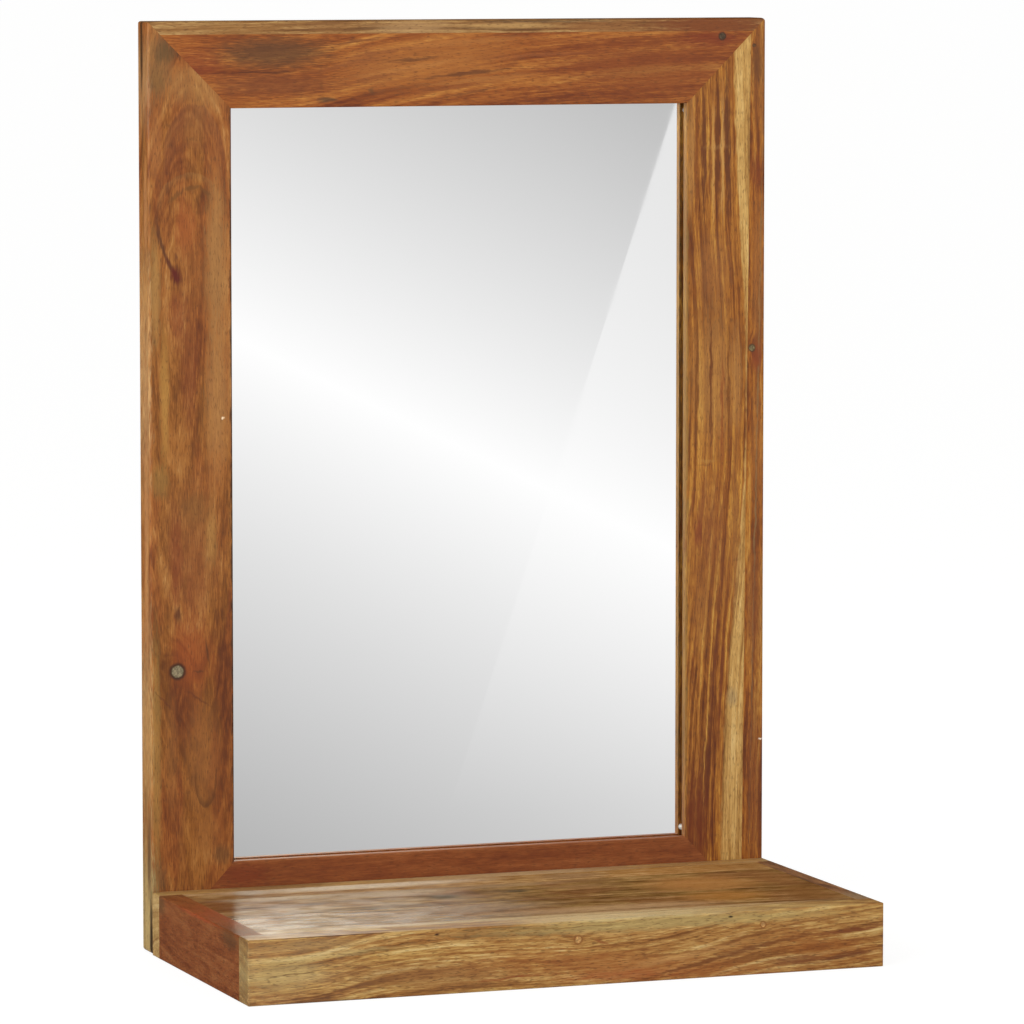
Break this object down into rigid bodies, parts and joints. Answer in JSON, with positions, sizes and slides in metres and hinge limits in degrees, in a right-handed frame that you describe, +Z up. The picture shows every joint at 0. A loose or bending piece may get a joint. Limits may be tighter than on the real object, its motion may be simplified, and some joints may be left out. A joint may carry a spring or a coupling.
{
  "type": "mirror with shelf",
  "caption": "Portrait mirror in a mitred solid-wood frame with a deep box-built wooden shelf across its foot, for wall or tabletop.",
  "frame": {"origin": "middle of the rectangular footprint, on the flat base", "axes": "+Z up, +Y towards the wall (the frame's back), +X to the right seen from the front"},
  "size_m": [0.496, 0.26, 0.7],
  "materials": {
    "stile_wood": "clear satin lacquer",
    "striped_wood": "clear satin lacquer",
    "red_wood": "clear satin lacquer",
    "pale_wood": "clear satin lacquer",
    "honey_wood": "clear satin lacquer",
    "dark_wood": "clear satin lacquer",
    "shelf_top_wood": "clear lacquer, glossier than the frame",
    "cleat_wood": "sawn, unfinished",
    "dowel_wood": "turned, unfinished",
    "plywood": "sanded, unfinished",
    "mirror_glass": "silvered float glass",
    "clear_vinyl": "clear moulded",
    "packing_foam": "closed-cell foam",
    "zinc_steel": "zinc plated"
  },
  "bodies": {
    "root": {"left_stile": "stile_wood", "right_stile": "striped_wood", "right_edge_strip": "red_wood", "top_rail": "red_wood", "top_edge_strip": "pale_wood", "bottom_rail": "red_wood", "mitre_dowels": "dowel_wood", "mirror_glass": "mirror_glass", "glass_spacers": "clear_vinyl", "packing_sheet": "packing_foam", "back_panel": "plywood", "panel_screws": "zinc_steel", "hanger_plate_left": "zinc_steel", "hanger_plate_right": "zinc_steel", "hanger_screws": "zinc_steel", "shelf_front_board": "honey_wood", "shelf_back_board": "pale_wood", "shelf_left_side": "dark_wood", "shelf_right_side": "dark_wood", "shelf_rear_plank": "pale_wood", "shelf_middle_plank": "shelf_top_wood", "shelf_front_plank": "shelf_top_wood", "shelf_left_cleat": "cleat_wood", "shelf_right_cleat": "cleat_wood", "shelf_batten": "cleat_wood", "shelf_dowels": "dowel_wood", "cleat_screws": "zinc_steel", "plank_screws": "zinc_steel", "shelf_fixing_screws": "zinc_steel"}
  },
  "joints": []
}
